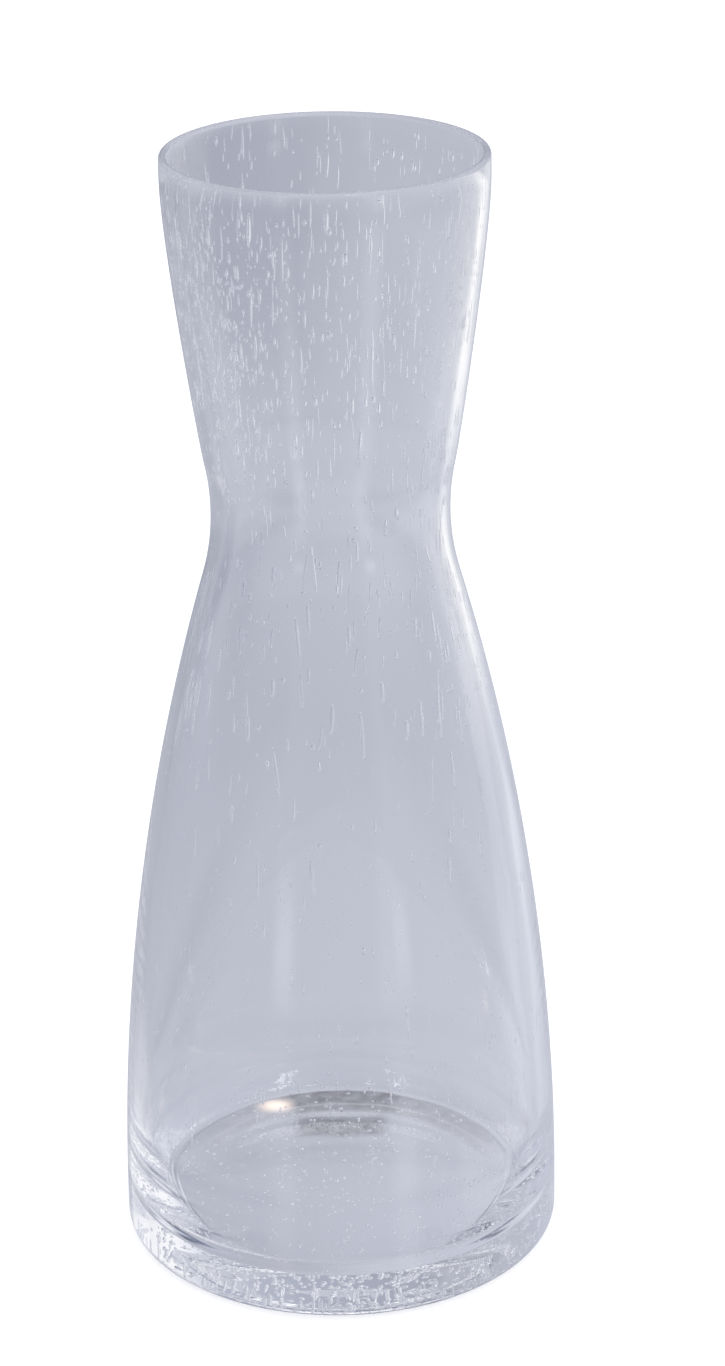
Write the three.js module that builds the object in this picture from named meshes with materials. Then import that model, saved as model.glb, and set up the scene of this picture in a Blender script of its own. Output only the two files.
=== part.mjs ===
// Carafe of clear seeded glass: a heavy flat base, a bell-shaped body, a drawn-in waist
// and a neck that flares to a fire-polished rim.
// The real vessel is one piece of blown glass. Its six zones are turned about the Z axis as
// separate solids that meet face to face on level planes.
// Millimetres, +Z up, with the origin on the table at the middle of the foot.

import * as THREE from "three";

// Heights above the table
const HEIGHT = 280;
const WAIST_HEIGHT = 192.8;
const RIM_DEPTH = 6; // upright band under the lip
const BASE_THICKNESS = 9;

// Outside radii
const BASE_RADIUS = 55;
const WAIST_RADIUS = 28.8;
const MOUTH_RADIUS = 38.5;

// Wall thickness, measured level, thinning from the foot to the lip
const FOOT_WALL = 3.6;
const WAIST_WALL = 2.5;
const LIP_WALL = 2;

// Foot: the rounded outer edge, the inner corner's reach over the floor and its rise up the wall,
// and the hollow under the resting ring
const HEEL_RADIUS = 3.5;
const CORNER_REACH = 7.1;
const CORNER_RISE = 26;
const PUNT_RADIUS = 40;
const PUNT_DEPTH = 1.6;

// Outline: the bend through the waist, and the lean of the wall where the bend begins and ends
const WAIST_BEND = 60;
const BELL_LEAN = THREE.MathUtils.degToRad(16.2);
const NECK_LEAN = THREE.MathUtils.degToRad(11.8);

// Outline: how far along its end direction each long curve is pulled
const BELL_FOOT_PULL = 35.5;
const BELL_WAIST_PULL = 69.5;
const NECK_WAIST_PULL = 6;
const NECK_RIM_PULL = 14;

// Facets: sides around the axis, and steps along each curve
const SIDES = 64;
const BODY_STEPS = 8;
const SHOULDER_STEPS = 8;
const WAIST_STEPS = 6;
const NECK_STEPS = 10;
const HEEL_STEPS = 5;
const CORNER_STEPS = 10;
const PUNT_STEPS = 4;
const LIP_STEPS = 8;

// Finish of the glass
const GLASS_COLOUR = 0xe4e8f0;
const GLASS_ROUGHNESS = 0.03;
const GLASS_OPACITY = 0.35;

const RIM_START = HEIGHT - RIM_DEPTH;
const UPRIGHT = new THREE.Vector2(0, 1);
const BELL_TOP = new THREE.Vector2(-Math.tan(BELL_LEAN), 1);
const NECK_FOOT = new THREE.Vector2(Math.tan(NECK_LEAN), 1);

// The radii of the wall's two skins. Both follow the same heights, so each cut is level.
const outside = { foot: BASE_RADIUS, waist: WAIST_RADIUS, mouth: MOUTH_RADIUS };
const inside = {
  foot: BASE_RADIUS - FOOT_WALL,
  waist: WAIST_RADIUS - WAIST_WALL,
  mouth: MOUTH_RADIUS - LIP_WALL,
};

function along(start, direction, distance) {
  return start.clone().addScaledVector(direction, distance);
}

// A point of the bend through the waist, at an angle above its narrowest level
function waistPoint(skin, angle) {
  const radius = skin.waist + WAIST_BEND * (1 - Math.cos(angle));
  return new THREE.Vector2(radius, WAIST_HEIGHT + WAIST_BEND * Math.sin(angle));
}

// The bell from the floor to the waist, in steps shared by the body and the shoulder
function bellCurve(skin) {
  const foot = new THREE.Vector2(skin.foot, BASE_THICKNESS);
  const top = waistPoint(skin, -BELL_LEAN);
  const footHandle = along(foot, UPRIGHT, BELL_FOOT_PULL);
  const topHandle = along(top, BELL_TOP, -BELL_WAIST_PULL);
  const curve = new THREE.CubicBezierCurve(foot, footHandle, topHandle, top);
  return curve.getPoints(BODY_STEPS + SHOULDER_STEPS);
}

function waistCurve(skin) {
  const points = [];
  for (let step = 0; step <= WAIST_STEPS; step++) {
    const angle = THREE.MathUtils.lerp(-BELL_LEAN, NECK_LEAN, step / WAIST_STEPS);
    points.push(waistPoint(skin, angle));
  }
  return points;
}

function neckCurve(skin) {
  const foot = waistPoint(skin, NECK_LEAN);
  const top = new THREE.Vector2(skin.mouth, RIM_START);
  const footHandle = along(foot, NECK_FOOT, NECK_WAIST_PULL);
  const topHandle = along(top, UPRIGHT, -NECK_RIM_PULL);
  return new THREE.CubicBezierCurve(foot, footHandle, topHandle, top).getPoints(NECK_STEPS);
}

// Points of a round stretch, anticlockwise from one angle to another
function arc(centreRadius, centreHeight, radius, from, to, steps) {
  return ellipse(centreRadius, centreHeight, radius, radius, from, to, steps);
}

function ellipse(centreRadius, centreHeight, halfWidth, halfHeight, from, to, steps) {
  const curve = new THREE.EllipseCurve(centreRadius, centreHeight, halfWidth, halfHeight, from, to);
  return curve.getPoints(steps);
}

// A closed outline of radius and height, turned about the axis and stood up along +Z
function turned(name, outline) {
  const geometry = new THREE.LatheGeometry(outline, SIDES);
  geometry.rotateX(Math.PI / 2);
  const glass = new THREE.MeshStandardMaterial({
    color: GLASS_COLOUR,
    roughness: GLASS_ROUGHNESS,
    metalness: 0,
    transparent: true,
    opacity: GLASS_OPACITY,
  });
  const mesh = new THREE.Mesh(geometry, glass);
  mesh.name = name;
  return mesh;
}

// A ring of wall: up the outer skin, down the inner one and back to the start
function ring(name, outer, inner) {
  return turned(name, [...outer, ...inner.reverse(), outer[0]]);
}

function base() {
  const punt = new THREE.QuadraticBezierCurve(
    new THREE.Vector2(0, PUNT_DEPTH),
    new THREE.Vector2(PUNT_RADIUS / 2, PUNT_DEPTH),
    new THREE.Vector2(PUNT_RADIUS, 0),
  );
  const heel = arc(BASE_RADIUS - HEEL_RADIUS, HEEL_RADIUS, HEEL_RADIUS, -Math.PI / 2, 0, HEEL_STEPS);
  const floorEdge = new THREE.Vector2(BASE_RADIUS, BASE_THICKNESS);
  const floorCentre = new THREE.Vector2(0, BASE_THICKNESS);
  return turned("base", [...punt.getPoints(PUNT_STEPS), ...heel, floorEdge, floorCentre]);
}

// The lower bell. A rounded corner, tight at the floor and easing upwards, leads into its inner skin.
function body() {
  const cornerTop = BASE_THICKNESS + CORNER_RISE;
  const floorRadius = inside.foot - CORNER_REACH;
  const outer = bellCurve(outside).slice(0, BODY_STEPS + 1);
  const inner = bellCurve(inside).slice(0, BODY_STEPS + 1);
  const wall = inner.filter((point) => point.y > cornerTop);
  const cornerWidth = wall[0].x - floorRadius;
  const corner = ellipse(
    floorRadius, cornerTop, cornerWidth, CORNER_RISE, -Math.PI / 2, 0, CORNER_STEPS,
  );
  return ring("body", outer, [...corner, ...wall]);
}

function shoulder() {
  return ring("shoulder", bellCurve(outside).slice(BODY_STEPS), bellCurve(inside).slice(BODY_STEPS));
}

function rim() {
  const lip = LIP_WALL / 2;
  const edge = arc(MOUTH_RADIUS - lip, HEIGHT - lip, lip, 0, Math.PI, LIP_STEPS);
  const outerFoot = new THREE.Vector2(outside.mouth, RIM_START);
  const innerFoot = new THREE.Vector2(inside.mouth, RIM_START);
  return ring("rim", [outerFoot, ...edge], [innerFoot]);
}

const carafe = new THREE.Group();
carafe.add(
  base(),
  body(),
  shoulder(),
  ring("waist", waistCurve(outside), waistCurve(inside)),
  ring("neck", neckCurve(outside), neckCurve(inside)),
  rim(),
);

export default carafe;
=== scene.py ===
"""Carafe of clear seeded glass on a pale floor.

One seamless blown glass stands for the six zones of the frame. Its seeds are small hollows of air
in the wall and the base, and a soft studio round it gives it something to mirror and bend.
Metres, +Z up, with the origin on the floor at the middle of the foot.
"""

import math

import bpy
import numpy as np
from mathutils import Matrix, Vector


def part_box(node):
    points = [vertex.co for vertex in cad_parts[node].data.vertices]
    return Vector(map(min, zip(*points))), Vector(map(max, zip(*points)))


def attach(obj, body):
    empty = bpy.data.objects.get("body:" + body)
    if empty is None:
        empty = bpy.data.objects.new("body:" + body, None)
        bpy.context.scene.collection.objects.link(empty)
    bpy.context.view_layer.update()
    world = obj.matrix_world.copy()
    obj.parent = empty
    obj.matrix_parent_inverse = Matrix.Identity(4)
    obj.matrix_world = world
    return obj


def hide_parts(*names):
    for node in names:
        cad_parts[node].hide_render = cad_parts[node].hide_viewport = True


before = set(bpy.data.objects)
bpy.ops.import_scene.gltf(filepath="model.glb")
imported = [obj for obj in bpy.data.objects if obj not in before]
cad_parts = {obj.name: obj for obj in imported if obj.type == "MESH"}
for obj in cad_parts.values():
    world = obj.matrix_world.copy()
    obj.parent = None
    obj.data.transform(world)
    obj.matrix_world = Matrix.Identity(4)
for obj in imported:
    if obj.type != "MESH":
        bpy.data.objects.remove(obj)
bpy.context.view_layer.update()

MM = 0.001
WHITE = (1, 1, 1, 1)
HALF_TURN = 180
ALL_ROUND = (0, 360)
ZONES = ("base", "body", "shoulder", "waist", "neck", "rim")

# Heights and outside radii, from the frame
FLOOR_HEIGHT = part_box("base")[1].z
BASE_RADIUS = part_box("base")[1].x
SHOULDER_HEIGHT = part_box("shoulder")[0].z
BELL_TOP_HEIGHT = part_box("waist")[0].z
NECK_FOOT_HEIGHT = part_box("neck")[0].z
RIM_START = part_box("rim")[0].z
MOUTH_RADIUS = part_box("rim")[1].x
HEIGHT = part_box("rim")[1].z

# Sizes of the glass that the frame's boxes don't give, the same as in the part's source
WAIST_RADIUS = 28.8 * MM
WAIST_HEIGHT = 192.8 * MM
WAIST_BEND = 60 * MM
FOOT_WALL = 3.6 * MM
WAIST_WALL = 2.5 * MM
LIP_WALL = 2 * MM
HEEL_RADIUS = 3.5 * MM
CORNER_REACH = 7.1 * MM
CORNER_RISE = 26 * MM
PUNT_RADIUS = 40 * MM
PUNT_DEPTH = 1.6 * MM
BELL_FOOT_PULL = 35.5 * MM
BELL_WAIST_PULL = 69.5 * MM
NECK_WAIST_PULL = 6 * MM
NECK_RIM_PULL = 14 * MM

OUTSIDE = {"foot": BASE_RADIUS, "waist": WAIST_RADIUS, "mouth": MOUTH_RADIUS}
INSIDE = {
    "foot": BASE_RADIUS - FOOT_WALL,
    "waist": WAIST_RADIUS - WAIST_WALL,
    "mouth": MOUTH_RADIUS - LIP_WALL,
}
BELL_LEAN = math.asin((WAIST_HEIGHT - BELL_TOP_HEIGHT) / WAIST_BEND)
NECK_LEAN = math.asin((NECK_FOOT_HEIGHT - WAIST_HEIGHT) / WAIST_BEND)
CORNER_TOP = FLOOR_HEIGHT + CORNER_RISE
FLOOR_RADIUS = INSIDE["foot"] - CORNER_REACH

# Fineness of the glass: sides around the axis, and steps along each stretch of the outline
SIDES = 192
BELL_STEPS = 72
WAIST_STEPS = 20
NECK_STEPS = 36
LIP_STEPS = 14
HEEL_STEPS = 10
CORNER_STEPS = 40
FLAT_STEPS = 8
RESTING_RING_STEPS = 3

# Finish of the glass
GLASS_TINT = (0.98, 0.98, 0.985, 1)
GLASS_IOR = 1.5
AIR_IN_GLASS = 1 / GLASS_IOR
POLISH_SCALE = 45
POLISH_NOISE = (0.35, 0.65)
POLISH_ROUGHNESS = (0, 0.015)
WAVE_SCALE = 140
WAVE_STRETCH = (1, 1, 0.25)
WAVE_STRENGTH = 0.15
WAVE_DEPTH = 0.1 * MM

# Ripple that blowing leaves in the two skins of the wall: how many waves go round the axis, the shortest
# and longest wave up the wall, the depth in each skin, and the height over which it fades out
RIPPLE_RANDOM = 11
RIPPLE_WAVES = (3, 5, 8, 11, 14, 18, 22)
RIPPLE_LENGTHS = (45 * MM, 220 * MM)
OUTER_RIPPLE = 0.05 * MM
INNER_RIPPLE = 0.09 * MM
RIPPLE_FADE = 12 * MM

# Seeds: the facets of each, the spread of their sizes and tilt, their places from the wall's inner skin (0)
# to its outer skin (1), the glass that covers them at the lip and in the base, and their greatest height
SEED_RANDOM = 7
SEED_SIDES = 8
SEED_RINGS = 6
SEED_TILT = 0.05
SEED_WIDTH_SPREAD = 0.35
SEED_WIDTHS = (0.15 * MM, 1.2 * MM)
SEED_LENGTH_SPREAD = 0.6
SEED_LONGEST = 12 * MM
SEED_PLACES = (0.3, 0.7)
SEED_COVER = 1 * MM
SEED_TOP = RIM_START + 4 * MM

# Kinds of seed: usual length and width, and depth in the wall as a share of the width
STREAK = (2.8 * MM, 0.55 * MM, 0.7)
SHORT_STREAK = (1.6 * MM, 0.48 * MM, 0.7)
DOT = (0.9 * MM, 0.42 * MM, 0.7)
RIBBON = (5.5 * MM, 1.1 * MM, 0.25)
DASH = (2.0 * MM, 0.4 * MM, 0.6)
BALL = (0.8 * MM, 0.8 * MM, 0.9)
HEEL_BALL = (0.6 * MM, 0.6 * MM, 0.9)
HEEL_STREAK = (3 * MM, 0.6 * MM, 1)

# Seeds all round the wall: how many, the heights that they lie between, and their kind
NECK_BANDS = (
    (600, NECK_FOOT_HEIGHT, SEED_TOP, STREAK),
    (400, 235 * MM, SEED_TOP, SHORT_STREAK),
)
SHOULDER_BANDS = (
    (150, BELL_TOP_HEIGHT, NECK_FOOT_HEIGHT, STREAK),
    (140, 145 * MM, BELL_TOP_HEIGHT, RIBBON),
    (36, 110 * MM, 150 * MM, RIBBON),
    (120, 140 * MM, BELL_TOP_HEIGHT, SHORT_STREAK),
    (130, SHOULDER_HEIGHT, 150 * MM, DASH),
)
BODY_BANDS = (
    (200, CORNER_TOP, SHOULDER_HEIGHT, DASH),
    (120, CORNER_TOP, SHOULDER_HEIGHT, DOT),
)
# Crowded patch at the front left of the neck: how many, the spread of their angles in radians, the middle
# and the spread of their heights, and their kind
CROWDED_ANGLE = math.radians(-136)
NECK_PATCHES = (
    (250, 0.34, 254 * MM, 12 * MM, DOT),
    (130, 0.34, 235 * MM, 16 * MM, SHORT_STREAK),
    (70, 0.32, 224 * MM, 14 * MM, STREAK),
)
# Seeds in the base: how many, the radii, heights and turns in degrees that they lie between, and kind
BASE_RINGS = (
    (460, (0, 45 * MM), (5 * MM, FLOOR_HEIGHT), ALL_ROUND, BALL),
    (60, (48 * MM, 53.6 * MM), (6 * MM, 14 * MM), ALL_ROUND, HEEL_BALL),
    (80, (52.8 * MM, 53.8 * MM), (3 * MM, 6 * MM), ALL_ROUND, HEEL_STREAK),
    (90, (48 * MM, 53.6 * MM), (2 * MM, 12 * MM), (-62, -14), HEEL_BALL),
)

# Camera, fitted to the outline in the photograph, with its turns in radians and its lens in millimetres
CAMERA_PLACE = (0, -2.989 * HEIGHT, 1.768 * HEIGHT)
CAMERA_PITCH = 0.3942
CAMERA_YAW = 0.0085
CAMERA_ROLL = -0.0132
CAMERA_LENS = 97.75
CAMERA_SENSOR = 36

# Floor: its size in metres, how far it lies under the foot, its colour and its own glow
FLOOR_SIZE = 16
FLOOR_GAP = 0.3 * MM
FLOOR_WHITE = (0.62, 0.62, 0.63, 1)
FLOOR_GLOW = (0.72, 0.72, 0.725, 1)

# Painted shade on the floor under the foot, seen through the base: a dark ring at the back with a
# paler line in it, a dark patch in front of that, and a painted warm glint to the left, all as glow
# on a clear disc. Each band is its middle, half width and softness.
SHADE_TONE = (0.15, 0.148, 0.165, 1)
SHADE_REACH = 60 * MM
SHADE_RING = (47.5 * MM, 6.5 * MM, 3 * MM)
SHADE_LINE = (44.5 * MM, 0.5 * MM, 0.8 * MM)
SHADE_LINE_SHARE = 0.45
# Strength of the ring by bearing, in degrees from straight back to the right
SHADE_TURNS = (
    (-70, 0),
    (-40, 0.25),
    (-22, 0.28),
    (-14, 0.76),
    (16, 0.76),
    (24, 0.42),
    (48, 0.38),
    (75, 0),
)
PATCH_ACROSS = (0, 11.5 * MM, 5 * MM)
PATCH_DEEP = (33.4 * MM, 4.4 * MM, 4 * MM)
PATCH_STRENGTH = 0.8
SHADE_GRAIN = 260
SHADE_GRAIN_NOISE = (0.3, 0.7)
SHADE_GRAIN_SHARE = (0.6, 1.15)
GLINT_COLOUR = (1.55, 1.3, 1.12, 1)
GLINT_ACROSS = (-18 * MM, 3.6 * MM, 6.5 * MM)
GLINT_DEEP = (44 * MM, 2.6 * MM, 5 * MM)

# Studio round the glass: its colour by elevation in degrees
ROOM_PROFILE = (
    (-90, (0.50, 0.515, 0.59)),
    (-50, (0.50, 0.52, 0.605)),
    (-38, (0.535, 0.555, 0.64)),
    (-29, (0.545, 0.565, 0.645)),
    (-24, (0.50, 0.523, 0.603)),
    (-20, (0.522, 0.546, 0.627)),
    (-18, (0.465, 0.487, 0.563)),
    (-14.5, (0.455, 0.475, 0.55)),
    (-8, (0.46, 0.485, 0.57)),
    (0, (0.42, 0.435, 0.49)),
    (12, (0.53, 0.54, 0.62)),
    (30, (0.52, 0.545, 0.635)),
    (54, (0.46, 0.465, 0.53)),
    (64, (1.3, 1.3, 1.35)),
    (90, (1.4, 1.4, 1.45)),
)
# It is dimmer on the left and brighter on the right: the sideways part of the direction, and the share
# of the light
ROOM_SIDES = ((-0.24, 0.9), (0.20, 1.1))
# Panels: azimuth from straight back to the right, elevation, half width, half height and softness, all in
# degrees, and the light that each adds or, in a dark place, takes away
PANELS = (
    ("right_wall", 90, 5, 62, 32, 12, (0.19, 0.19, 0.185)),
    ("right_window", 64, 22, 10, 9, 6, (0.36, 0.34, 0.27)),
    ("right_gap", 62, -8, 13, 4, 5, (-0.28, -0.28, -0.25)),
    ("back_gap", 21, 0, 7, 14, 6, (-0.075, -0.075, -0.05)),
    ("back_left", -8.5, -15.5, 8, 2.5, 3, (-0.075, -0.075, -0.07)),
    ("back_left_low", -15, -19, 5, 2.5, 4, (-0.05, -0.05, -0.045)),
    ("back_right", 17, -17.5, 17, 4, 6, (0.022, 0.022, 0.022)),
    ("back_high", 0, 22, 16, 20, 8, (-0.13, -0.13, -0.13)),
    ("right_table", 85, -26, 28, 4.5, 5, (0.25, 0.25, 0.25)),
    ("right_low_dark", 90, -41.5, 52, 3.5, 6, (-0.38, -0.38, -0.4)),
    ("left_low_dark", -90, -41.5, 52, 3.5, 6, (-0.38, -0.38, -0.4)),
    ("level_dark", 180, 9, 150, 7, 8, (-0.22, -0.22, -0.22)),
    ("back_level", 0, 9, 28, 8, 5, (-0.22, -0.22, -0.22)),
    ("left_window", -38, -32, 14, 4.5, 5, (0.35, 0.35, 0.34)),
    ("left_wall", -100, -5, 45, 45, 20, (0.05, 0.06, 0.09)),
    ("front_table", 180, -34, 32, 9, 8, (0.13, 0.15, 0.16)),
    ("front_right_lamp", 143, -11, 4.5, 2.3, 5, (0.85, 0.85, 0.85)),
    ("front_right_low_lamp", 145, -30, 6, 8, 11, (0.6, 0.61, 0.62)),
    ("front_left_lamp", -148.5, -11, 4.5, 2.3, 5, (0.6, 0.6, 0.6)),
    ("front_left_low_lamp", -148, -31, 6, 8, 11, (0.45, 0.44, 0.42)),
    ("front_dark", 180, -20, 14, 4, 6, (-0.12, -0.12, -0.13)),
    ("front_room", 180, 20, 75, 30, 20, (0.15, 0.15, 0.15)),
    ("left_spark", -158, 45, 3.5, 2.5, 3, (4.5, 4.5, 4.5)),
    ("right_spark", 158, 45, 5, 2.5, 3, (4.5, 4.5, 4.5)),
)
# A pale card to the right of the neck: its distance from the axis, the turns in degrees and the heights
# that it lies between, the softness of its edges, and its light
CARD_DISTANCE = 300 * MM
CARD_TURNS = (26, 78)
CARD_HEIGHTS = (80 * MM, 235 * MM)
CARD_TURN_SOFT = 12
CARD_HEIGHT_SOFT = 70 * MM
CARD_LIGHT = (1.02, 1.02, 1.04, 1)
CARD_STEPS = 24

# How often light may pass or mirror on its way through the seeds
BOUNCES = 160


def bezier(start, start_handle, end_handle, end, steps):
    t = np.linspace(0, 1, steps + 1)[:, None]
    points = [np.array(p) for p in (start, start_handle, end_handle, end)]
    weights = ((1 - t) ** 3, 3 * (1 - t) ** 2 * t, 3 * (1 - t) * t**2, t**3)
    return sum(w * p for w, p in zip(weights, points))


def arc(centre, width, height, start, end, steps):
    """Part of an ellipse with these half widths and half heights."""
    angle = np.linspace(start, end, steps + 1)
    return np.stack([centre[0] + width * np.cos(angle), centre[1] + height * np.sin(angle)], axis=1)


def line(start, end, steps):
    t = np.linspace(0, 1, steps + 1)[:, None]
    return np.array(start) * (1 - t) + np.array(end) * t


def bell_curve(skin):
    lean = math.tan(BELL_LEAN)
    foot = (skin["foot"], FLOOR_HEIGHT)
    top = (skin["waist"] + WAIST_BEND * (1 - math.cos(BELL_LEAN)), BELL_TOP_HEIGHT)
    foot_handle = (foot[0], foot[1] + BELL_FOOT_PULL)
    top_handle = (top[0] + lean * BELL_WAIST_PULL, top[1] - BELL_WAIST_PULL)
    return bezier(foot, foot_handle, top_handle, top, BELL_STEPS)


def waist_curve(skin):
    centre = (skin["waist"] + WAIST_BEND, WAIST_HEIGHT)
    return arc(centre, WAIST_BEND, WAIST_BEND, math.pi + BELL_LEAN, math.pi - NECK_LEAN, WAIST_STEPS)


def neck_curve(skin):
    lean = math.tan(NECK_LEAN)
    foot = (skin["waist"] + WAIST_BEND * (1 - math.cos(NECK_LEAN)), NECK_FOOT_HEIGHT)
    top = (skin["mouth"], RIM_START)
    foot_handle = (foot[0] + lean * NECK_WAIST_PULL, foot[1] + NECK_WAIST_PULL)
    top_handle = (top[0], top[1] - NECK_RIM_PULL)
    return bezier(foot, foot_handle, top_handle, top, NECK_STEPS)


def wall_curve(skin):
    """One skin of the wall, from the floor of the glass up to the rim."""
    return np.concatenate([bell_curve(skin), waist_curve(skin)[1:], neck_curve(skin)[1:]])


def corner_width():
    """How far the rounded corner reaches from the flat floor to the wall."""
    inner = wall_curve(INSIDE)
    return np.interp(CORNER_TOP, inner[:, 1], inner[:, 0]) - FLOOR_RADIUS


def underside(radius):
    """Height of the hollow under the foot."""
    return PUNT_DEPTH * np.clip(1 - (radius / PUNT_RADIUS) ** 2, 0, 1)


def glass_outline():
    """Radius and height round the glass, from the middle of the underside to the middle of the floor."""
    lip = LIP_WALL / 2
    punt_radius = np.linspace(0, PUNT_RADIUS, FLAT_STEPS + 1)
    punt = np.stack([punt_radius, underside(punt_radius)], axis=1)
    ring = line((PUNT_RADIUS, 0), (BASE_RADIUS - HEEL_RADIUS, 0), RESTING_RING_STEPS)
    heel_centre = (BASE_RADIUS - HEEL_RADIUS, HEEL_RADIUS)
    heel = arc(heel_centre, HEEL_RADIUS, HEEL_RADIUS, -math.pi / 2, 0, HEEL_STEPS)
    edge = arc((MOUTH_RADIUS - lip, HEIGHT - lip), lip, lip, 0, math.pi, LIP_STEPS)
    inner = wall_curve(INSIDE)[::-1]
    inner = inner[inner[:, 1] > CORNER_TOP]
    corner = arc((FLOOR_RADIUS, CORNER_TOP), corner_width(), CORNER_RISE, 0, -math.pi / 2, CORNER_STEPS)
    floor = line((FLOOR_RADIUS, FLOOR_HEIGHT), (0, FLOOR_HEIGHT), FLAT_STEPS)
    outside = np.concatenate([punt, ring[1:], heel[1:], wall_curve(OUTSIDE)])
    inside = np.concatenate([inner, corner, floor[1:]])
    return outside, edge, inside


def ripple(rng, height, angle):
    """How far a skin lies in from its outline, from 0 to 1. It fades out at the corner and at the rim."""
    total = np.zeros(np.broadcast_shapes(height.shape, angle.shape))
    for around in RIPPLE_WAVES:
        start = rng.uniform(0, 2 * math.pi)
        turns = rng.choice((-1, 1)) * 2 * math.pi / rng.uniform(*RIPPLE_LENGTHS)
        total += np.cos(around * angle + start + turns * height) / len(RIPPLE_WAVES)
    fade = np.clip(np.minimum(height - CORNER_TOP, RIM_START - height) / RIPPLE_FADE, 0, 1)
    return fade * (1 - total) / 2


def rippled_glass(name, sides):
    """The glass as one closed surface about the axis, with its skins slightly rippled inwards."""
    rng = np.random.default_rng(RIPPLE_RANDOM)
    outside, edge, inside = glass_outline()
    angle = np.linspace(0, 2 * math.pi, sides, endpoint=False)
    rings = []
    for outline, depth in ((outside[1:], OUTER_RIPPLE), (edge, 0), (inside[:-1], INNER_RIPPLE)):
        radius, height = outline[:, 0, None], outline[:, 1, None]
        rippled = radius - depth * ripple(rng, height, angle)
        level = np.broadcast_to(height, rippled.shape)
        rings.append(np.stack([rippled * np.cos(angle), rippled * np.sin(angle), level], axis=2))
    around = np.concatenate(rings)
    ends = np.array([[0, 0, outside[0, 1]], [0, 0, inside[-1, 1]]])
    return closed_mesh(name, around, ends)


def closed_mesh(name, around, ends):
    """Faces between rings of points, and from the first and last ring to a point on the axis."""
    rings, sides = around.shape[:2]
    first, last = rings * sides, rings * sides + 1
    faces = []
    for side in range(sides):
        after = (side + 1) % sides
        faces.append((first, after, side))
        for ring in range(rings - 1):
            low, high = ring * sides, (ring + 1) * sides
            faces.append((low + side, low + after, high + after, high + side))
        top = (rings - 1) * sides
        faces.append((top + side, top + after, last))
    mesh = bpy.data.meshes.new(name)
    mesh.from_pydata(np.concatenate([around.reshape(-1, 3), ends]).tolist(), [], faces)
    mesh.shade_smooth()
    return mesh


def add_object(name, data):
    made = bpy.data.objects.new(name, data)
    bpy.context.scene.collection.objects.link(made)
    return made


def new_material(name):
    """A material with nodes, those nodes, and its shader."""
    material = bpy.data.materials.new(name)
    material.use_nodes = True
    tree = material.node_tree
    return material, tree, tree.nodes["Principled BSDF"]


def bare_material(name):
    """A material with no shader yet, its nodes, and the socket that takes one."""
    material, tree, shader = new_material(name)
    tree.nodes.remove(shader)
    return material, tree, tree.nodes["Material Output"].inputs["Surface"]


def own_place(tree):
    """The place on an object in its own axes, and the three numbers of that place."""
    place = tree.nodes.new("ShaderNodeTexCoord").outputs["Object"]
    split = tree.nodes.new("ShaderNodeSeparateXYZ")
    tree.links.new(place, split.inputs["Vector"])
    return place, split.outputs["X"], split.outputs["Y"], split.outputs["Z"]


def polish(tree, shader):
    """Roughness that varies a little over the surface."""
    place = tree.nodes.new("ShaderNodeTexCoord")
    noise = tree.nodes.new("ShaderNodeTexNoise")
    noise.inputs["Scale"].default_value = POLISH_SCALE
    noise.inputs["Detail"].default_value = 0
    shader.distribution = "GGX"
    tree.links.new(place.outputs["Object"], noise.inputs["Vector"])
    roughness = map_range(tree, noise.outputs["Fac"], POLISH_NOISE, POLISH_ROUGHNESS)
    tree.links.new(roughness, shader.inputs["Roughness"])


def waves(tree, shader):
    """Faint waves drawn out up the wall."""
    place = tree.nodes.new("ShaderNodeTexCoord")
    stretch = tree.nodes.new("ShaderNodeMapping")
    stretch.inputs["Scale"].default_value = WAVE_STRETCH
    noise = tree.nodes.new("ShaderNodeTexNoise")
    noise.inputs["Scale"].default_value = WAVE_SCALE
    noise.inputs["Detail"].default_value = 0
    bump = tree.nodes.new("ShaderNodeBump")
    bump.inputs["Strength"].default_value = WAVE_STRENGTH
    bump.inputs["Distance"].default_value = WAVE_DEPTH
    tree.links.new(place.outputs["Object"], stretch.inputs["Vector"])
    tree.links.new(stretch.outputs["Vector"], noise.inputs["Vector"])
    tree.links.new(noise.outputs["Fac"], bump.inputs["Height"])
    tree.links.new(bump.outputs["Normal"], shader.inputs["Normal"])


def glass_material():
    """Clear glass with a faint cool cast."""
    material, tree, shader = new_material("seeded_glass")
    shader.inputs["Base Color"].default_value = GLASS_TINT
    shader.inputs["Transmission Weight"].default_value = 1
    shader.inputs["IOR"].default_value = GLASS_IOR
    polish(tree, shader)
    waves(tree, shader)
    return material


def air_material():
    """The skin of an air seed, seen from the glass round it."""
    material, tree, surface = bare_material("air_seed")
    shader = tree.nodes.new("ShaderNodeBsdfGlass")
    shader.inputs["Color"].default_value = WHITE
    shader.inputs["IOR"].default_value = AIR_IN_GLASS
    polish(tree, shader)
    tree.links.new(shader.outputs["BSDF"], surface)
    return material


def seed_template():
    """A unit ball with few sides: its points, and its faces as triangles facing out."""
    points, faces = [(0, 0, -1)], []
    for ring in range(1, SEED_RINGS):
        polar = math.pi * ring / SEED_RINGS
        for side in range(SEED_SIDES):
            angle = 2 * math.pi * side / SEED_SIDES
            across = math.sin(polar)
            points.append((across * math.cos(angle), across * math.sin(angle), -math.cos(polar)))
    points.append((0, 0, 1))
    last = len(points) - 1
    for side in range(SEED_SIDES):
        after = (side + 1) % SEED_SIDES
        faces.append((0, 1 + after, 1 + side))
        for ring in range(SEED_RINGS - 2):
            low, high = 1 + ring * SEED_SIDES, 1 + (ring + 1) * SEED_SIDES
            faces.append((low + side, low + after, high + after))
            faces.append((low + side, high + after, high + side))
        top = 1 + (SEED_RINGS - 2) * SEED_SIDES
        faces.append((top + side, top + after, last))
    return np.array(points), np.array(faces)


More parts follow.
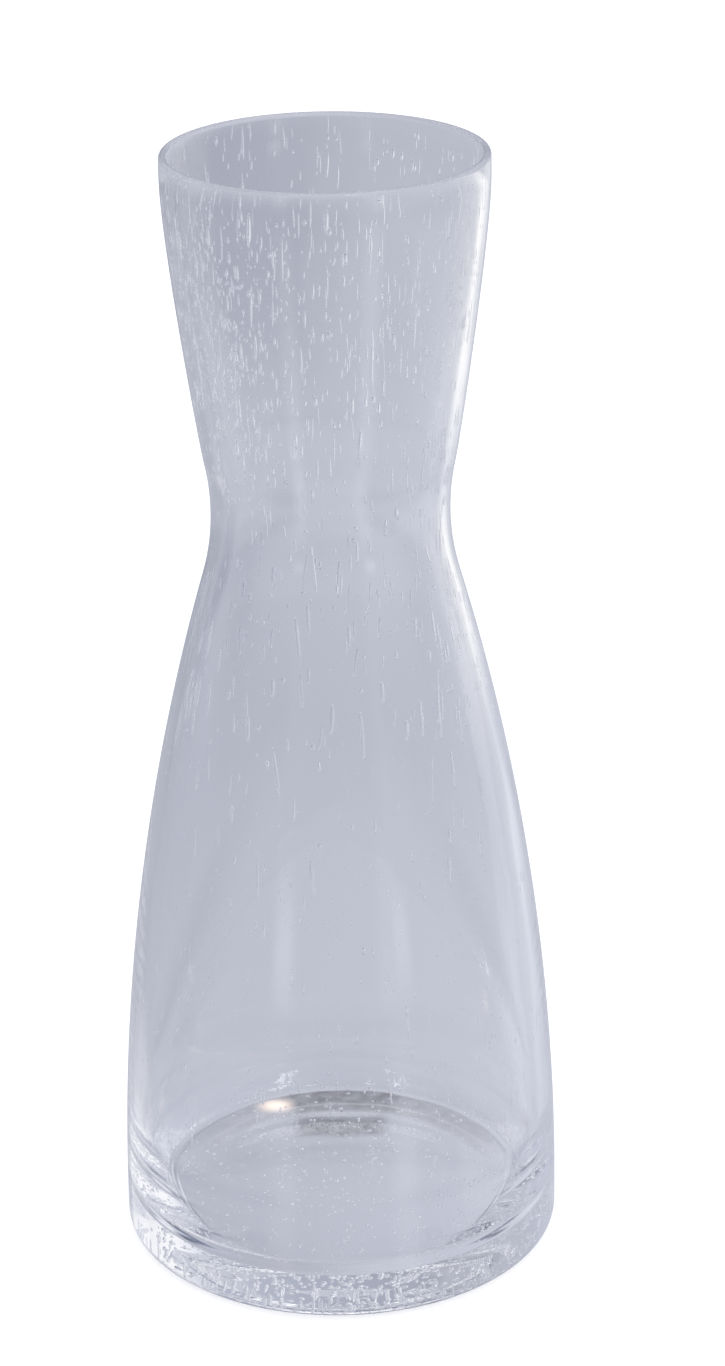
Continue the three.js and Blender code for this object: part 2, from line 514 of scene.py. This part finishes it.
def seeds_mesh(name, batches):
    """Balls drawn out along the wall.

    A batch holds their places, their directions along and out of the wall, and their sizes.
    """
    columns = [np.concatenate(column) for column in zip(*batches)]
    places, along, outward, lengths, widths, depths = columns
    points, faces = seed_template()
    across = np.cross(along, outward)
    shaped = (
        points[None, :, 0, None] * (outward * depths[:, None] / 2)[:, None]
        + points[None, :, 1, None] * (across * widths[:, None] / 2)[:, None]
        + points[None, :, 2, None] * (along * lengths[:, None] / 2)[:, None]
        + places[:, None]
    )
    corner = faces[None] + (np.arange(len(places)) * len(points))[:, None, None]
    mesh = bpy.data.meshes.new(name)
    mesh.from_pydata(shaped.reshape(-1, 3).tolist(), [], corner.reshape(-1, 3).tolist())
    mesh.shade_smooth()
    return mesh


def seed_sizes(rng, count, kind):
    """Lengths, widths and depths that spread round a kind's usual values."""
    length, width, flatness = kind
    widths = np.clip(width * rng.lognormal(0, SEED_WIDTH_SPREAD, count), *SEED_WIDTHS)
    lengths = np.clip(length * rng.lognormal(0, SEED_LENGTH_SPREAD, count), widths, SEED_LONGEST)
    return lengths, widths, widths * flatness


def wall_seeds(rng, angle, height, kind):
    """Seeds in the wall at these angles and heights, drawn out upwards."""
    count = len(angle)
    lengths, widths, depths = seed_sizes(rng, count, kind)
    height = np.minimum(height, HEIGHT - SEED_COVER - lengths / 2)
    outer, inner = wall_curve(OUTSIDE), wall_curve(INSIDE)
    outer_radius = np.interp(height, outer[:, 1], outer[:, 0])
    inner_radius = np.interp(height, inner[:, 1], inner[:, 0])
    lean = np.arctan(np.interp(height, outer[:, 1], np.gradient(outer[:, 0], outer[:, 1])))
    radius = inner_radius + (outer_radius - inner_radius) * rng.uniform(*SEED_PLACES, count)
    places = np.stack([radius * np.cos(angle), radius * np.sin(angle), height], axis=1)
    out = np.stack([np.cos(angle), np.sin(angle), np.zeros(count)], axis=1)
    up = np.array([0, 0, 1])
    around = np.stack([-np.sin(angle), np.cos(angle), np.zeros(count)], axis=1)
    along = out * np.sin(lean)[:, None] + up * np.cos(lean)[:, None]
    outward = out * np.cos(lean)[:, None] - up * np.sin(lean)[:, None]
    # Turned a little on a leaning wall, so that they stand upright when seen from the front or the back
    upright = lean * np.cos(angle) * np.sin(angle)
    tilt = (rng.normal(0, SEED_TILT, count) + upright)[:, None]
    along = along * np.cos(tilt) + around * np.sin(tilt)
    return places, along, outward, lengths, widths, depths


def band_seeds(rng, count, low, high, kind):
    """Seeds all round the wall, between two heights."""
    angle = rng.uniform(0, 2 * math.pi, count)
    height = rng.uniform(low, high, count)
    return wall_seeds(rng, angle, height, kind)


def patch_seeds(rng, count, angle_spread, middle_height, height_spread, kind):
    """Seeds crowded round one place of the neck."""
    angle = rng.normal(CROWDED_ANGLE, angle_spread, count)
    height = rng.normal(middle_height, height_spread, count)
    return wall_seeds(rng, angle, height, kind)


def base_top(radius):
    """Height of the floor and of the rounded corner round it."""
    reach = np.clip((radius - FLOOR_RADIUS) / corner_width(), 0, 1)
    return CORNER_TOP - CORNER_RISE * np.sqrt(1 - reach**2)


def base_seeds(rng, count, ring, heights, turns, kind):
    """Upright seeds in a ring of the base, between two heights and two turns, where the glass is."""
    angle = np.radians(rng.uniform(*turns, count))
    radius = np.sqrt(rng.uniform(ring[0] ** 2, ring[1] ** 2, count))
    bottom = underside(radius) + SEED_COVER
    top = base_top(radius) - SEED_COVER
    height = rng.uniform(np.maximum(heights[0], bottom), np.minimum(heights[1], top), count)
    lengths, widths, depths = seed_sizes(rng, count, kind)
    # A seed may grow until half of the cover is left
    room = np.minimum(height - bottom, top - height) + SEED_COVER / 2
    lengths = np.minimum(lengths, 2 * room)
    places = np.stack([radius * np.cos(angle), radius * np.sin(angle), height], axis=1)
    outward = np.stack([np.cos(angle), np.sin(angle), np.zeros(count)], axis=1)
    along = np.broadcast_to(np.array([0.0, 0.0, 1.0]), (count, 3))
    return places, along, outward, lengths, widths, depths


def add_camera():
    """A camera whose right, down and forward directions are turned from level by yaw, pitch and roll."""
    camera = bpy.data.cameras.new("camera")
    camera.lens = CAMERA_LENS
    camera.sensor_width = CAMERA_SENSOR
    made = add_object("camera", camera)
    level = Matrix(((1, 0, 0), (0, 0, -1), (0, 1, 0)))
    yaw = Matrix.Rotation(-CAMERA_YAW, 3, "Y")
    pitch = Matrix.Rotation(CAMERA_PITCH, 3, "X")
    roll = Matrix.Rotation(CAMERA_ROLL, 3, "Z")
    right, down, forward = roll @ pitch @ yaw @ level
    axes = Matrix((right, -down, -forward)).transposed()
    made.matrix_world = Matrix.Translation(CAMERA_PLACE) @ axes.to_4x4()
    bpy.context.scene.camera = made


def add_floor():
    """White, with the soft shadow of the glass. In the glass, the studio shows in its place."""
    half = FLOOR_SIZE / 2
    low = -FLOOR_GAP
    mesh = bpy.data.meshes.new("floor")
    corners = [(-half, -half, low), (half, -half, low), (half, half, low), (-half, half, low)]
    mesh.from_pydata(corners, [], [(0, 1, 2, 3)])
    floor = add_object("floor", mesh)
    floor.visible_transmission = False
    floor.visible_glossy = False
    material, _, shader = new_material("pale_floor")
    shader.inputs["Base Color"].default_value = FLOOR_WHITE
    shader.inputs["Roughness"].default_value = 1
    shader.inputs["Specular IOR Level"].default_value = 0
    shader.inputs["Emission Color"].default_value = FLOOR_GLOW
    shader.inputs["Emission Strength"].default_value = 1
    mesh.materials.append(material)


def math_node(tree, operation, *values):
    """A number made from others, each a value or another node's socket."""
    made = tree.nodes.new("ShaderNodeMath")
    made.operation = operation
    for socket, value in zip(made.inputs, values):
        if isinstance(value, bpy.types.NodeSocket):
            tree.links.new(value, socket)
        else:
            socket.default_value = value
    return made.outputs["Value"]


def soft_band(tree, value, middle, half, soft):
    """1 within half of the middle, falling to 0 over the soft edge. Angles go round the full turn."""
    offset = math_node(tree, "WRAP", math_node(tree, "SUBTRACT", value, middle), HALF_TURN, -HALF_TURN)
    distance = math_node(tree, "ABSOLUTE", offset)
    made = tree.nodes.new("ShaderNodeMapRange")
    made.interpolation_type = "SMOOTHSTEP"
    made.inputs["From Min"].default_value = half - soft / 2
    made.inputs["From Max"].default_value = half + soft / 2
    made.inputs["To Min"].default_value = 1
    made.inputs["To Max"].default_value = 0
    tree.links.new(distance, made.inputs["Value"])
    return made.outputs["Result"]


def soft_box(tree, value, band, other, other_band):
    """1 where both values lie in their bands. A band is a middle, half width and softness."""
    return math_node(tree, "MULTIPLY", soft_band(tree, value, *band), soft_band(tree, other, *other_band))


def map_range(tree, value, before, after):
    """A number carried from one range to another, and held at its ends."""
    made = tree.nodes.new("ShaderNodeMapRange")
    made.inputs["From Min"].default_value, made.inputs["From Max"].default_value = before
    made.inputs["To Min"].default_value, made.inputs["To Max"].default_value = after
    tree.links.new(value, made.inputs["Value"])
    return made.outputs["Result"]


def colour_ramp(tree, value, stops):
    """A colour that runs through these pairs of value and colour."""
    first, last = stops[0][0], stops[-1][0]
    node = tree.nodes.new("ShaderNodeValToRGB")
    elements = node.color_ramp.elements
    ready = len(elements)
    for step, (level, colour) in enumerate(stops):
        position = (level - first) / (last - first)
        stop = elements[step] if step < ready else elements.new(position)
        stop.position = position
        stop.color = (*colour, 1)
    tree.links.new(map_range(tree, value, (first, last), (0, 1)), node.inputs["Fac"])
    return node.outputs["Color"]


def add_world():
    """White where the camera sees it. For the glass it has the room's tone and the studio's panels."""
    world = bpy.data.worlds.new("studio")
    bpy.context.scene.world = world
    world.use_nodes = True
    tree = world.node_tree
    way = tree.nodes.new("ShaderNodeTexCoord")
    split = tree.nodes.new("ShaderNodeSeparateXYZ")
    tree.links.new(way.outputs["Generated"], split.inputs["Vector"])
    x, y, z = [split.outputs[axis] for axis in "XYZ"]
    azimuth = math_node(tree, "DEGREES", math_node(tree, "ARCTAN2", x, y))
    elevation = math_node(tree, "DEGREES", math_node(tree, "ARCSINE", z))
    (left, dim), (right, bright) = ROOM_SIDES
    tone = tree.nodes.new("ShaderNodeVectorMath")
    tone.operation = "SCALE"
    tree.links.new(colour_ramp(tree, elevation, ROOM_PROFILE), tone.inputs["Vector"])
    tree.links.new(map_range(tree, x, (left, right), (dim, bright)), tone.inputs["Scale"])
    total = tone.outputs["Vector"]
    for name, turn, rise, half_width, half_height, soft, light in PANELS:
        across, upward = (turn, half_width, soft), (rise, half_height, soft)
        add = tree.nodes.new("ShaderNodeVectorMath")
        add.name = name
        add.operation = "MULTIPLY_ADD"
        tree.links.new(soft_box(tree, azimuth, across, elevation, upward), add.inputs[0])
        add.inputs[1].default_value = light
        tree.links.new(total, add.inputs[2])
        total = add.outputs["Vector"]
    path = tree.nodes.new("ShaderNodeLightPath")
    mix = tree.nodes.new("ShaderNodeMixRGB")
    mix.inputs["Color2"].default_value = WHITE
    tree.links.new(path.outputs["Is Camera Ray"], mix.inputs["Fac"])
    tree.links.new(total, mix.inputs["Color1"])
    tree.links.new(mix.outputs["Color"], tree.nodes["Background"].inputs["Color"])


def glow(tree, colour):
    made = tree.nodes.new("ShaderNodeEmission")
    made.inputs["Color"].default_value = colour
    return made.outputs["Emission"]


def laid_over(tree, under, over, share):
    """One shader over another, by a share."""
    made = tree.nodes.new("ShaderNodeMixShader")
    tree.links.new(share, made.inputs["Fac"])
    tree.links.new(under, made.inputs[1])
    tree.links.new(over, made.inputs[2])
    return made.outputs["Shader"]


def shade_material():
    """Clear, with the shade and the glint of the foot painted on as glow."""
    material, tree, surface = bare_material("foot_shade")
    place, x, y, _ = own_place(tree)
    length = tree.nodes.new("ShaderNodeVectorMath")
    length.operation = "LENGTH"
    tree.links.new(place, length.inputs[0])
    radius = length.outputs["Value"]
    bearing = math_node(tree, "DEGREES", math_node(tree, "ARCTAN2", x, y))
    greys = [(turn, (share, share, share)) for turn, share in SHADE_TURNS]
    strength = colour_ramp(tree, bearing, greys)
    ring = math_node(tree, "MULTIPLY", soft_band(tree, radius, *SHADE_RING), strength)
    pale_line = math_node(tree, "MULTIPLY", soft_band(tree, radius, *SHADE_LINE), -SHADE_LINE_SHARE)
    ring = math_node(tree, "MULTIPLY", ring, math_node(tree, "ADD", pale_line, 1))
    patch = soft_box(tree, x, PATCH_ACROSS, y, PATCH_DEEP)
    dark = math_node(tree, "MAXIMUM", ring, math_node(tree, "MULTIPLY", patch, PATCH_STRENGTH))
    grain = tree.nodes.new("ShaderNodeTexNoise")
    grain.inputs["Scale"].default_value = SHADE_GRAIN
    tree.links.new(place, grain.inputs["Vector"])
    grain_share = map_range(tree, grain.outputs["Fac"], SHADE_GRAIN_NOISE, SHADE_GRAIN_SHARE)
    dark = math_node(tree, "MULTIPLY", dark, grain_share)
    glint = soft_box(tree, x, GLINT_ACROSS, y, GLINT_DEEP)
    clear = tree.nodes.new("ShaderNodeBsdfTransparent").outputs["BSDF"]
    shaded = laid_over(tree, clear, glow(tree, SHADE_TONE), dark)
    lit = laid_over(tree, shaded, glow(tree, GLINT_COLOUR), glint)
    tree.links.new(lit, surface)
    return material


def add_foot_shade():
    """Painted shade where the foot stands on the floor. Only what passes through the glass shows it."""
    angles = [2 * math.pi * side / SIDES for side in range(SIDES)]
    points = [(SHADE_REACH * math.cos(a), SHADE_REACH * math.sin(a), 0) for a in angles]
    mesh = bpy.data.meshes.new("foot_shade")
    mesh.from_pydata(points, [], [tuple(range(SIDES))])
    mesh.materials.append(shade_material())
    shade = add_object("foot_shade", mesh)
    shade.location.z = -FLOOR_GAP / 2
    shade.visible_camera = False
    shade.visible_diffuse = False
    shade.visible_glossy = False
    shade.visible_shadow = False


def card_material():
    """Even light that fades out towards the card's edges."""
    material, tree, surface = bare_material("right_card")
    _, x, y, z = own_place(tree)
    turn = math_node(tree, "DEGREES", math_node(tree, "ARCTAN2", x, y))
    (turn_from, turn_to), (low, high) = CARD_TURNS, CARD_HEIGHTS
    middle_turn, middle_height = (turn_from + turn_to) / 2, (low + high) / 2
    across = (middle_turn, turn_to - middle_turn, CARD_TURN_SOFT)
    upward = (middle_height, high - middle_height, CARD_HEIGHT_SOFT)
    clear = tree.nodes.new("ShaderNodeBsdfTransparent").outputs["BSDF"]
    lit = laid_over(tree, clear, glow(tree, CARD_LIGHT), soft_box(tree, turn, across, z, upward))
    tree.links.new(lit, surface)
    return material


def add_card():
    """The card to the right of the neck, which only the glass shows."""
    (turn_from, turn_to), (low, high) = CARD_TURNS, CARD_HEIGHTS
    turns = np.linspace(turn_from - CARD_TURN_SOFT, turn_to + CARD_TURN_SOFT, CARD_STEPS + 1)
    points, faces = [], []
    for step, turn in enumerate(np.radians(turns)):
        x, y = CARD_DISTANCE * math.sin(turn), CARD_DISTANCE * math.cos(turn)
        points += [(x, y, low - CARD_HEIGHT_SOFT), (x, y, high + CARD_HEIGHT_SOFT)]
        if step < CARD_STEPS:
            near, far = 2 * step, 2 * step + 2
            faces.append((near, near + 1, far + 1, far))
    mesh = bpy.data.meshes.new("right_card")
    mesh.from_pydata(points, [], faces)
    mesh.materials.append(card_material())
    card = add_object("right_card", mesh)
    card.visible_camera = False
    card.visible_diffuse = False
    card.visible_shadow = False


def add_piece(name, mesh, material):
    made = add_object(name, mesh)
    made.data.materials.append(material)
    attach(made, "root")
    return made


def add_seeds():
    """The air seeds of each zone as one piece, drawn in this order."""
    rng = np.random.default_rng(SEED_RANDOM)
    air = air_material()
    neck = [band_seeds(rng, *band) for band in NECK_BANDS]
    neck += [patch_seeds(rng, *patch) for patch in NECK_PATCHES]
    zones = {
        "neck_seeds": neck,
        "shoulder_seeds": [band_seeds(rng, *band) for band in SHOULDER_BANDS],
        "body_seeds": [band_seeds(rng, *band) for band in BODY_BANDS],
        "base_seeds": [base_seeds(rng, *ring) for ring in BASE_RINGS],
    }
    for name, batches in zones.items():
        add_piece(name, seeds_mesh(name, batches), air)


add_camera()
add_floor()
add_foot_shade()
add_card()
add_world()

glass = add_piece("glass", rippled_glass("glass", SIDES), glass_material())
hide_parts(*ZONES)
add_seeds()

bpy.context.scene.view_settings.view_transform = "Standard"
cycles = bpy.context.scene.cycles
cycles.max_bounces = BOUNCES
cycles.glossy_bounces = BOUNCES
cycles.transmission_bounces = BOUNCES
